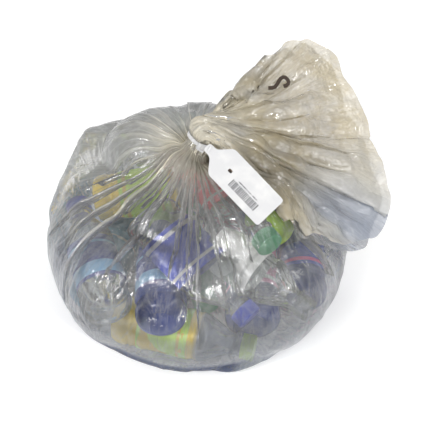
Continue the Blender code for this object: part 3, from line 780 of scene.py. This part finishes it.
def finer(rings, columns, spacing):
    """The rings resampled smoothly: this many columns, and rows about this far apart."""
    count = rings.shape[1]
    at = np.arange(columns) * count / columns
    index = at.astype(int)
    t = (at - index)[None, :, None]
    wide = cubic(*(rings[:, (index + k) % count] for k in (-1, 0, 1, 2)), t)
    known = np.concatenate([2 * wide[:1] - wide[1:2], wide, 2 * wide[-1:] - wide[-2:-1]])
    rows, places = [], []
    for row in range(len(wide) - 1):
        step = np.linalg.norm(wide[row + 1] - wide[row], axis=1).mean()
        parts = max(1, round(step / spacing))
        for part in range(parts):
            rows.append(cubic(*(known[row + k] for k in range(4)), part / parts))
            places.append(row + part / parts)
    rows.append(wide[-1])
    places.append(len(wide) - 1)
    return np.array(rows), np.array(places)


def outward(points):
    """Outward normals of a stack of rings."""
    round_it = np.roll(points, -1, axis=1) - np.roll(points, 1, axis=1)
    normal = np.cross(round_it, np.gradient(points, axis=0))
    return normal / np.maximum(np.linalg.norm(normal, axis=2), 1e-12)[:, :, None]


def between_columns(rings, at):
    """The rings read at fractional columns, as an array of rows by columns by 3."""
    count = rings.shape[1]
    index = np.floor(at).astype(int)
    part = (at - index)[:, :, None]
    row = np.arange(len(rings))[:, None]
    return (1 - part) * rings[row, index % count] + part * rings[row, (index + 1) % count]


def folded(points, travelled, settings, random):
    """The film gathered into knife pleats that lie over to one side and open out on their way from the tie.

    Every pleat has PLEAT_COLUMNS columns, of which the middle ones run back under the strip that lies over them.
    Also returns how far the film stands up, and the attributes that go with the pleats.
    """
    rows, columns = travelled.shape
    count = columns // PLEAT_COLUMNS
    half = PLEAT_COLUMNS // 2
    middles = np.arange(count) * PLEAT_COLUMNS + half
    behind = np.sin(2 * math.pi * middles / columns) > 0.25
    reach = random.uniform(0.07, 0.25, count) * np.where(behind, 0.75, 1.0)
    most = random.uniform(0.0, 1.0, count) ** 0.7 * settings.pleat_breadth * np.where(behind, 0.6, 1.0)
    tall = random.uniform(0.4, 1.0, count) * settings.pleat_height
    way = np.where(random.random(count) < 0.5, 1, -1)
    drift = random.normal(0, 1.6, count)

    # The pleats run closer together in front
    column = np.arange(columns)
    around = 2 * math.pi * column / columns
    shift = np.broadcast_to(-0.25 * np.cos(around) * columns / (2 * math.pi), (rows, columns)).copy()
    shift += np.interp(column, middles, drift, period=columns) * travelled / 0.1
    up, edge_haze_and_highlight, double = (np.zeros((rows, columns)) for _ in range(3))
    for pleat, middle in enumerate(middles):
        out = travelled[:, middle]
        open_share = np.sqrt(np.clip(1 - out / reach[pleat], 0, 1))
        over = (most[pleat] + 1) * open_share - 1
        rise = tall[pleat] * open_share * np.clip(out / 0.08, 0, 1)
        outer = np.linspace(-half, 0, half + 1)[:-1]
        gap = (half + over) / (half - 1)
        for side in (-1, 1):
            lying_over = side == way[pleat]
            for step, place in enumerate(outer):
                at = middle + side * int(place)
                shift[:, at] += side * (-half + step * gap - place)
                share = step / (half - 1)
                up[:, at] = rise * (share if lying_over else 0.15 * share)
            # The fold's edge: a thin whitish line, partly the film seen edge-on there and partly a painted
            # highlight
            at = middle - side
            edge_haze_and_highlight[:, at] = open_share * (over > 0.1)
        up[:, middle] = 0.5 * rise
        double[:, middle - 1:middle + 2] = (open_share * (over > 0))[:, None] * random.uniform(0.2, 1.0)
    return between_columns(points, column[None, :] + shift), up, edge_haze_and_highlight, double


def facets(angle, travelled, wide, long, random):
    """Flat facets that meet on sharp creases, as a value from 0 to 1: they're wide radians by long metres."""
    columns = round(2 * math.pi / wide)
    rows = int(travelled.max() / long) + 4
    spots, heights = [], []
    for row in range(-2, rows):
        for column in range(columns):
            spots.append((column + random.uniform(0, 1), row + random.uniform(0, 1)))
            heights.append(random.uniform(0, 1))
    for (x, y), height in list(zip(spots, heights)):
        for turn in (-columns, columns):
            if -3 < x + turn < columns + 3:
                spots.append((x + turn, y))
                heights.append(height)
    places, _, triangles, sources, *_ = delaunay_2d_cdt([Vector(spot) for spot in spots], [], [], 0, 1e-6)
    corners = [(spot.x, spot.y, heights[source[0]]) for spot, source in zip(places, sources)]
    tree = BVHTree.FromPolygons(corners, triangles)
    down = Vector((0, 0, -1))
    found = [
        tree.ray_cast(Vector((x, y, 2.0)), down)[0]
        for x, y in zip((angle / (2 * math.pi) * columns).ravel().tolist(), (travelled / long).ravel().tolist())
    ]
    return np.array([0.0 if hit is None else hit.z for hit in found]).reshape(angle.shape)


def film_shades(points, angle, travelled, in_fan, gathered, coarse_facets, fan_facets):
    """How hazy, soiled and cool each point of the film is, and how much shade is painted on it: 0 for not at all,
    and 1 for fully.
    """
    edge_haze_and_highlight, double = gathered
    in_body = ~in_fan
    height = points[:, :, 2]
    behind = smoothstep((np.sin(angle) - 0.1) / 0.6) * in_body
    near_neck = np.exp(-((travelled / 0.045) ** 2)) * in_body
    at_rope = np.exp(-((travelled / 0.075) ** 2)) * in_fan
    low = smoothstep((0.045 - height) / 0.035) * in_body
    away = smoothstep((off_contents(points) - 0.004) / 0.026)
    share, reach = fan_share(angle), travelled / np.maximum(travelled[-1], 1e-6)
    corner = np.exp(-(((share - 0.31) / 0.15) ** 2)) * smoothstep((reach - 0.45) / 0.35) * in_fan

    # Painted shade: dark on the folds under the left side and, fainter, in a rim all round the bottom, where shade
    # falls, and on the loose top's low corner
    uneven = height + 0.022 * (coarse_facets - 0.5)
    painted_fold_shade = smoothstep((0.062 - uneven) / 0.022) * smoothstep((np.cos(angle - 3.9) + 0.1) / 0.6)
    painted_rim_shade = smoothstep((0.042 - uneven) / 0.022) * (0.6 - 0.35 * behind)
    painted_shade = np.maximum(painted_fold_shade, painted_rim_shade) * in_body + 0.55 * corner

    # Fold edges are clouded into thin whitish lines, on the body and the loose top: partly the film seen edge-on,
    # partly a painted highlight
    # Painted shade also clouds the film, so that its dark colour shows over the bottles
    haze = 0.40 * behind + 0.17 * away + 0.42 * near_neck + 0.05 * low + 0.38 * double + 0.42 * edge_haze_and_highlight + 0.8 * painted_shade
    haze = np.where(in_fan, 0.56 + 0.12 * double + 0.25 * edge_haze_and_highlight + 0.18 * fan_facets, haze)
    haze = haze + 0.40 * at_rope + 0.22 * smoothstep((reach - 0.72) / 0.2) * in_fan
    soil = (1 - 0.6 * at_rope) * (1 - 0.15 * smoothstep((reach - 0.6) / 0.4))
    soil = np.where(in_fan, soil, np.clip(0.55 * near_neck + 0.35 * double, 0, 0.5)) * (1 - corner)
    cool = 0.55 * low + 0.55 * corner + 0.35 * smoothstep((0.13 - height) / 0.05) * in_body
    return {"haze": haze, "soil": soil, "cool": np.clip(cool, 0, 1), "painted_shade": painted_shade}


def film_mesh(settings):
    """The film's points in rings from the ground to the hem, with the shades and the course of each."""
    random = np.random.default_rng(7)
    angle = 2 * math.pi * np.arange(COARSE_COLUMNS) / COARSE_COLUMNS
    smooth, freedom = body_rings(angle)
    body = wrapped(smooth, freedom, contents_cloud(), FILM_CORNERS)
    fan = rested(fan_rings(angle), body)
    rings = np.concatenate([body, neck_rings(angle), fan])
    points, places = finer(rings, settings.columns, ROW_SPACING)
    rows, columns = points.shape[:2]
    angle = np.broadcast_to(2 * math.pi * np.arange(columns) / columns, (rows, columns))

    # How far each point is from the tie along its column
    tie_row = int(np.argmin(np.abs(places - (len(body) + 1))))
    steps = np.linalg.norm(np.diff(points, axis=0), axis=2)
    run = np.vstack([np.zeros(columns), np.cumsum(steps, axis=0)])
    travelled = np.abs(run - run[tie_row])
    in_fan = np.broadcast_to((np.arange(rows) > tie_row)[:, None], (rows, columns))

    points, up, edge_haze_and_highlight, double = folded(points, travelled, settings, random)
    coarse_facets, fine_facets, fan_facets = (
        facets(angle, travelled, wide, long, random) for wide, long in FACET_SIZES
    )

    # The relief fades out at the tie, on the ground and round the scrap, and is shallow where the loose top
    # faces down
    body_relief = (coarse_facets + 0.30 * fine_facets) * smoothstep((points[:, :, 2] - 0.004) / 0.02)
    fan_relief = 2.0 * fan_facets + 1.4 * fine_facets
    relief = settings.facet_height * np.where(in_fan, fan_relief, body_relief) * smoothstep(travelled / 0.03)
    ruffle = -0.0011 * np.clip(1 - travelled / 0.022, 0, 1) * (0.5 + 0.5 * np.cos(34 * angle))
    scrap = np.linalg.norm(points - points_of(frame["nodes"]["brown_scrap"].data).mean(0), axis=2)
    normals = outward(points)
    out = up + relief
    out = np.where(in_fan & (normals[:, :, 2] < 0), -0.35 * out, out) + ruffle
    out = out * smoothstep((scrap - SCRAP_ROOM) / 0.020)
    points = points + normals * out[:, :, None]
    points[:, :, 2] = np.maximum(points[:, :, 2], GROUND_CLEARANCE)

    shades = film_shades(points, angle, travelled, in_fan, (edge_haze_and_highlight, double), coarse_facets, fan_facets)
    return points, shades, np.stack([np.cos(angle), np.sin(angle), travelled * 6], -1)


def build_film(settings):
    """The film as one mesh, closed underneath and open at the hem."""
    points, shades, course = film_mesh(settings)
    rows, columns = points.shape[:2]
    base = rows * columns
    faces = ring_faces(rows, columns).tolist()
    faces += [(base, (column + 1) % columns, column) for column in range(columns)]

    def with_base(values, width):
        """A value for each point, and their mean round the first ring for the one under the sack's middle."""
        return np.vstack([values.reshape(-1, width), values[0].reshape(-1, width).mean(0)]).astype(np.float32)

    mesh = bpy.data.meshes.new("sack")
    mesh.from_pydata([*points.reshape(-1, 3).tolist(), points[0].mean(0).tolist()], [], faces)
    mesh.validate()
    for name, values in shades.items():
        layer = mesh.attributes.new(name, "FLOAT", "POINT")
        layer.data.foreach_set("value", with_base(values, 1).ravel())
    layer = mesh.attributes.new("course", "FLOAT_VECTOR", "POINT")
    layer.data.foreach_set("vector", with_base(course, 3).ravel())
    mesh.shade_smooth()
    piece = bpy.data.objects.new("sack", mesh)
    bpy.context.scene.collection.objects.link(piece)
    return piece


# The bottles


def bottle_profile(length, radius, rib_depth):
    """The outside of a bottle from the middle of its base to its mouth, as (radius, height)."""
    neck = length - FINISH_LENGTH
    line = [
        (0.0, 0.007), (radius * 0.30, 0.0065), (radius * 0.46, 0.003), (radius * 0.58, 0.0004),
        (radius * 0.74, 0.0004), (radius * 0.90, 0.003), (radius * 0.97, 0.008), (radius, 0.014),
    ]

    # Two ribs below the label and one above it
    below = (0.018, length * LABEL_START - 0.002, 2)
    above = (length * LABEL_END + 0.002, length * SHOULDER_START, 1)
    for start, end, count in (below, above):
        pitch = (end - start) / count
        for rib in range(count):
            low = start + rib * pitch
            for depth, share in ((0.0, 0.0), (0.8, 0.25), (1.0, 0.5), (0.8, 0.75), (0.0, 0.98)):
                line.append((radius - rib_depth * depth, low + pitch * share))

    # The shoulder, the neck with its ring, three turns of thread and the mouth
    line += [
        (radius * 0.985, length * 0.65), (radius * 0.93, length * 0.685), (radius * 0.78, length * 0.73),
        (radius * 0.64, length * 0.775), (radius * 0.50, length * 0.82), (FINISH_RADIUS * 0.98, neck - 0.002),
        (FINISH_RADIUS * 0.95, neck + 0.001), (FINISH_RADIUS + 0.0022, neck + 0.0022),
        (FINISH_RADIUS + 0.0022, neck + 0.0036), (FINISH_RADIUS * 0.95, neck + 0.0050),
    ]
    for turn in range(3):
        low = neck + 0.0085 + turn * 0.0040
        for share, rise in ((0.94, 0.0), (1.0, 0.0009), (1.0, 0.0015), (0.94, 0.0024)):
            line.append((FINISH_RADIUS * share, low + rise))
    line += [
        (FINISH_RADIUS * 0.96, length - 0.0008), (FINISH_RADIUS * 0.90, length),
        (MOUTH_RADIUS, length - 0.0004), (MOUTH_RADIUS, length - 0.006), (MOUTH_RADIUS * 1.02, neck),
    ]
    return line


def select_in_edit_mode(kind=None):
    """Opens the active piece in edit mode with all of it selected."""
    bpy.ops.object.mode_set(mode="EDIT")
    if kind:
        bpy.ops.mesh.select_mode(type=kind)
    bpy.ops.mesh.select_all(action="SELECT")


def spun(name, line, segments):
    """A profile line drawn by extruding a point, and spun round Z."""
    deselect_all()
    bpy.ops.mesh.primitive_plane_add(size=0.001, location=(0, 0, 0))
    piece = bpy.context.object
    piece.name = name
    select_in_edit_mode("VERT")
    bpy.ops.mesh.merge(type="CENTER")
    here = line[0]
    bpy.ops.transform.translate(value=(here[0], 0, here[1]))
    for radius, height in line[1:]:
        step = (radius - here[0], 0, height - here[1])
        bpy.ops.mesh.extrude_region_move(TRANSFORM_OT_translate={"value": step})
        here = (radius, height)
    bpy.ops.mesh.select_all(action="SELECT")
    bpy.ops.mesh.spin(steps=segments, angle=2 * math.pi, center=(0, 0, 0), axis=(0, 0, 1))
    bpy.ops.mesh.select_all(action="SELECT")
    bpy.ops.mesh.remove_doubles(threshold=0.00002)
    bpy.ops.mesh.normals_make_consistent(inside=False)
    bpy.ops.mesh.faces_shade_smooth()
    bpy.ops.object.mode_set(mode="OBJECT")
    return piece


def select_faces(piece, wanted):
    shape = bmesh.from_edit_mesh(piece.data)
    for face in shape.faces:
        face.select_set(wanted(face))
    bmesh.update_edit_mesh(piece.data)


def cap_master(length):
    """A screw cap: a drum with a raised disc on top, and grip ribs pushed out of every other side face."""
    low, high = length - 0.0125, length + 0.0015
    deselect_all()
    bpy.ops.mesh.primitive_cylinder_add(
        vertices=72, radius=FINISH_RADIUS + 0.0012, depth=high - low, location=(0, 0, (low + high) / 2),
        end_fill_type="NGON",
    )
    piece = bpy.context.object
    select_in_edit_mode("FACE")
    bpy.ops.mesh.select_all(action="DESELECT")
    select_faces(piece, lambda face: face.normal.z > 0.9)
    bpy.ops.mesh.inset(thickness=0.0011)
    bpy.ops.transform.translate(value=(0, 0, 0.0006))
    bpy.ops.mesh.inset(thickness=0.0008)

    def is_rib(face):
        middle = face.calc_center_median()
        turn = math.degrees(math.atan2(middle.y, middle.x)) % 360
        return abs(face.normal.z) < 0.2 and len(face.verts) == 4 and int(turn / 5) % 2 == 0

    select_faces(piece, is_rib)
    bpy.ops.mesh.inset(thickness=0.0001, use_individual=True)
    bpy.ops.mesh.extrude_faces_move(TRANSFORM_OT_shrink_fatten={"value": 0.0004})
    bpy.ops.object.mode_set(mode="OBJECT")
    bpy.ops.object.shade_smooth_by_angle(angle=math.radians(35))
    return piece


def mark_along(piece, low, high):
    """Stores how far up each point lies, from 0 at one height to 1 at the other."""
    heights = (points_of(piece.data)[:, 2] + piece.location.z - low) / (high - low)
    layer = piece.data.attributes.new("along", "FLOAT", "POINT")
    layer.data.foreach_set("value", heights.astype(np.float32))


def label_master(length, radius):
    """A sleeve with a thin wall round the bottle's middle."""
    low, high = length * LABEL_START, length * LABEL_END
    deselect_all()
    bpy.ops.mesh.primitive_cylinder_add(
        vertices=64, radius=radius + 0.0006, depth=high - low, location=(0, 0, (low + high) / 2),
        end_fill_type="NOTHING",
    )
    piece = bpy.context.object
    bpy.ops.object.mode_set(mode="EDIT")
    for share in (0.5, 0.1, 0.2, 0.3, 0.4, 0.6, 0.7, 0.8, 0.9):
        bpy.ops.mesh.select_all(action="SELECT")
        bpy.ops.mesh.bisect(plane_co=(0, 0, low + (high - low) * share), plane_no=(0, 0, 1))
    bpy.ops.object.mode_set(mode="OBJECT")
    bpy.ops.object.shade_smooth()
    mark_along(piece, low, high)
    return piece


def resting_frame(name, crushed):
    """The place of a CAD bottle: its base's middle, its axis to the mouth, and across a crushed one's width."""
    points = np.unique(np.round(points_of(frame["nodes"][name + "_body"].data), 6), axis=0)
    centre = points.mean(0)
    axis = np.linalg.svd(points - centre, full_matrices=False)[2][0]
    along = (points - centre) @ axis

    def end(sign):
        near = points[sign * along > (sign * along).max() - 0.0015]
        return near.mean(0), np.linalg.norm(near - near.mean(0), axis=1).max()

    (high, high_girth), (low, low_girth) = end(1), end(-1)
    if high_girth > low_girth:
        high, low = low, high
    axis = (high - low) / np.linalg.norm(high - low)
    side = np.cross(axis, (0.0, 0.0, 1.0))
    side /= np.linalg.norm(side)
    if crushed:
        length = np.linalg.norm(high - low)
        run = (points - low) @ axis
        belly = points[(run > 0.05 * length) & (run < 0.65 * length)] - low
        belly = belly - np.outer(belly @ axis, axis)
        side = np.linalg.svd(belly - belly.mean(0), full_matrices=False)[2][0]
    third = np.cross(axis, side)
    made = Matrix.Identity(4)
    for row in range(3):
        made[row] = (side[row], third[row], axis[row], low[row])
    return made


def pressed(points, length, radius, crush, dent_depth, seed):
    """Flattens a crushed bottle as the CAD does, and dents every wall inwards a little."""
    out = points.copy()
    squeeze = crush * (1 - smoothstep((points[:, 2] / length - SHOULDER_START) / 0.26))
    out[:, 0] *= 1 + 0.45 * squeeze
    out[:, 1] *= 1 - squeeze
    flat = np.hypot(points[:, 0], points[:, 1])
    for index, point in enumerate(points):
        if flat[index] < 1e-6:
            continue
        soft = smoothstep((length * 0.80 - point[2]) / 0.02) * smoothstep((point[2] - 0.012) / 0.012)
        place = Vector(point) / 0.030 + Vector((seed * 5.3, seed, 0))
        dent = max(0.0, noise.noise(place) - 0.05) * 2.2 + abs(noise.noise(place * 2.4)) * (0.2 + crush)
        out[index, :2] *= 1 - float(soft) * min(dent, 1.3) * dent_depth / radius
    return out


# The pieces' operators


class SACK_OT_bottles(bpy.types.Operator):
    """Models the bottles, their labels and caps, and lays them where the CAD bottles lie"""

    bl_idname = "sack.bottles"
    bl_label = "Bottles, labels and caps"

    def execute(self, context):
        settings = context.scene.sack_bottles
        masters, materials = {}, {}
        for size, (length, radius) in SIZES.items():
            shell = spun(size + "_bottle", bottle_profile(length, radius, settings.rib_depth), settings.segments)
            mark_along(shell, 0.0, length)
            masters[size] = (shell, label_master(length, radius), cap_master(length))
        for index, (name, size, crush, tint, label, cap, bands) in enumerate(BOTTLES):
            length, radius = SIZES[size]
            place = resting_frame(name, crush > 0)
            parts = (
                ("_body", masters[size][0], "bottle_" + tint),
                ("_label", masters[size][1], "label_" + label),
                ("_cap", masters[size][2], "cap_" + str(cap)),
            )
            for suffix, master, slot in parts:
                if suffix == "_cap" and cap is None:
                    continue
                key = slot + "_" + bands if suffix == "_label" else slot
                if key not in materials:
                    colour = FINISH[slot]
                    if suffix == "_body":
                        materials[key] = bottle_material(tint, colour)
                    elif suffix == "_label":
                        materials[key] = label_material(key, colour, BAND_COLOURS[bands])
                    else:
                        materials[key] = moulded_material(key, colour)
                piece = copy_of(master, name + suffix + "_shell")
                piece.data.transform(master.matrix_world)
                piece.matrix_world = Matrix.Identity(4)
                if suffix != "_cap":
                    points = points_of(piece.data)
                    set_points(piece.data, pressed(points, length, radius, crush, settings.dent_depth, index))
                piece.matrix_world = place
                context.view_layer.update()
                finished(piece, name + suffix + "_shell", materials[key], name + suffix)
        for master in (piece for group in masters.values() for piece in group):
            bpy.data.objects.remove(master)
        return {"FINISHED"}


class SACK_OT_film(bpy.types.Operator):
    """Models the sack: the filled body, the gathered neck and the loose top, in one sheet of film"""

    bl_idname = "sack.film"
    bl_label = "Film"

    def execute(self, context):
        settings = context.scene.sack_film
        piece = build_film(settings)
        finished(piece, "sack", film_material(settings), "bag_film")
        return {"FINISHED"}


class SACK_OT_tag(bpy.types.Operator):
    """Finishes the tie tag in white moulded plastic with plain printed bars"""

    bl_idname = "sack.tag"
    bl_label = "Tie tag"

    def execute(self, context):
        set_material(frame["nodes"]["tie_tag"], tag_material(context.scene.sack_tag))
        return {"FINISHED"}


class SACK_OT_scrap(bpy.types.Operator):
    """Finishes the brown scrap that is caught on the loose top"""

    bl_idname = "sack.scrap"
    bl_label = "Brown scrap"

    def execute(self, context):
        set_material(frame["nodes"]["brown_scrap"], moulded_material("scrap_brown", SCRAP_COLOUR, 0.7))
        return {"FINISHED"}


# The stage


def add_floor(colour):
    """A pale floor that a camera sees a little brighter than the lamps make it."""
    deselect_all()
    bpy.ops.mesh.primitive_plane_add(size=12.0, location=(0, 0, 0))
    floor = bpy.context.object
    floor.name = "floor"
    made, tree = blank_material("floor")
    lit = node(tree, "BsdfDiffuse", {"Color": (*colour, 1.0)}).outputs[0]
    strength = times(tree, node(tree, "LightPath").outputs["Is Camera Ray"], FLOOR_LIFT)
    lift = node(tree, "Emission", {"Strength": strength}).outputs[0]
    close_material(tree, node(tree, "AddShader", {0: lit, 1: lift}).outputs[0])
    set_material(floor, made)


def add_world():
    """An even white room that lights softly, is seen as white, and is dimmer in reflections."""
    world = bpy.data.worlds.new("studio")
    bpy.context.scene.world = world
    world.use_nodes = True
    tree = world.node_tree
    tree.nodes.clear()
    rays = node(tree, "LightPath").outputs
    seen = sums(tree, "MAXIMUM", rays["Is Camera Ray"], rays["Is Transmission Ray"])
    strength = node(tree, "MapRange", {"Value": seen, "To Min": ROOM_LIGHT, "To Max": ROOM_SEEN}).outputs["Result"]
    strength = sums(tree, "SUBTRACT", strength, times(tree, rays["Is Glossy Ray"], GLOSS_DIMMING))
    light = node(tree, "Background", {"Color": WHITE, "Strength": strength}).outputs[0]
    tree.links.new(light, node(tree, "OutputWorld").inputs["Surface"])


def placed(name, data, spot, back):
    """Links a lamp or a camera that stands at a spot, with its back turned the way given."""
    made = bpy.data.objects.new(name, data)
    made.location = spot
    made.rotation_mode = "QUATERNION"
    made.rotation_quaternion = back.to_track_quat("Z", "Y")
    bpy.context.scene.collection.objects.link(made)
    return made


class SACK_OT_stage(bpy.types.Operator):
    """Sets out the pale floor, the soft lamps and the camera"""

    bl_idname = "sack.stage"
    bl_label = "Floor, lamps and camera"

    def execute(self, context):
        settings = context.scene.sack_stage
        add_floor(settings.floor_colour)
        add_world()
        for name, spot, size, energy in LAMPS:
            lamp = bpy.data.lights.new(name, "AREA")
            lamp.shape = "DISK"
            lamp.size = size
            lamp.energy = energy
            placed(name, lamp, spot, Vector(spot) - LAMP_AIM)
        camera = bpy.data.cameras.new("camera")
        camera.lens, camera.sensor_width = 85.0, 36.0
        back = Vector((0, -math.cos(settings.elevation), math.sin(settings.elevation)))
        context.scene.camera = placed("camera", camera, CAMERA_AIM + back * settings.distance, back)
        context.scene.view_settings.view_transform = "Standard"
        # Many layers of film and bottle lie behind each other
        context.scene.cycles.transparent_max_bounces = 48
        return {"FINISHED"}


# The panel, and how the add-on starts and ends


class SACK_PT_panel(bpy.types.Panel):
    """Sizes and colours of the sack, and a button for each piece"""

    bl_label = "Sack"
    bl_idname = "SACK_PT_panel"
    bl_space_type = "VIEW_3D"
    bl_region_type = "UI"
    bl_category = "Sack"

    def draw(self, context):
        scene = context.scene
        for group, operators in (
            (scene.sack_bottles, (SACK_OT_bottles,)),
            (scene.sack_film, (SACK_OT_film,)),
            (scene.sack_tag, (SACK_OT_tag, SACK_OT_scrap)),
            (scene.sack_stage, (SACK_OT_stage,)),
        ):
            box = self.layout.box()
            for name in type(group).__annotations__:
                box.prop(group, name)
            for operator in operators:
                box.operator(operator.bl_idname)


GROUPS = {
    "sack_film": SackSettings,
    "sack_bottles": BottleSettings,
    "sack_tag": TagSettings,
    "sack_stage": StageSettings,
}
OPERATORS = (SACK_OT_bottles, SACK_OT_film, SACK_OT_tag, SACK_OT_scrap, SACK_OT_stage)


def register():
    for made in (*GROUPS.values(), *OPERATORS, SACK_PT_panel):
        bpy.utils.register_class(made)
    for name, group in GROUPS.items():
        setattr(bpy.types.Scene, name, PointerProperty(type=group))


def unregister():
    for name in GROUPS:
        delattr(bpy.types.Scene, name)
    for made in reversed((*GROUPS.values(), *OPERATORS, SACK_PT_panel)):
        bpy.utils.unregister_class(made)


def main():
    register()
    bpy.ops.sack.bottles()
    bpy.ops.sack.film()
    bpy.ops.sack.tag()
    bpy.ops.sack.scrap()
    bpy.ops.sack.stage()


if __name__ == "__main__":
    main()
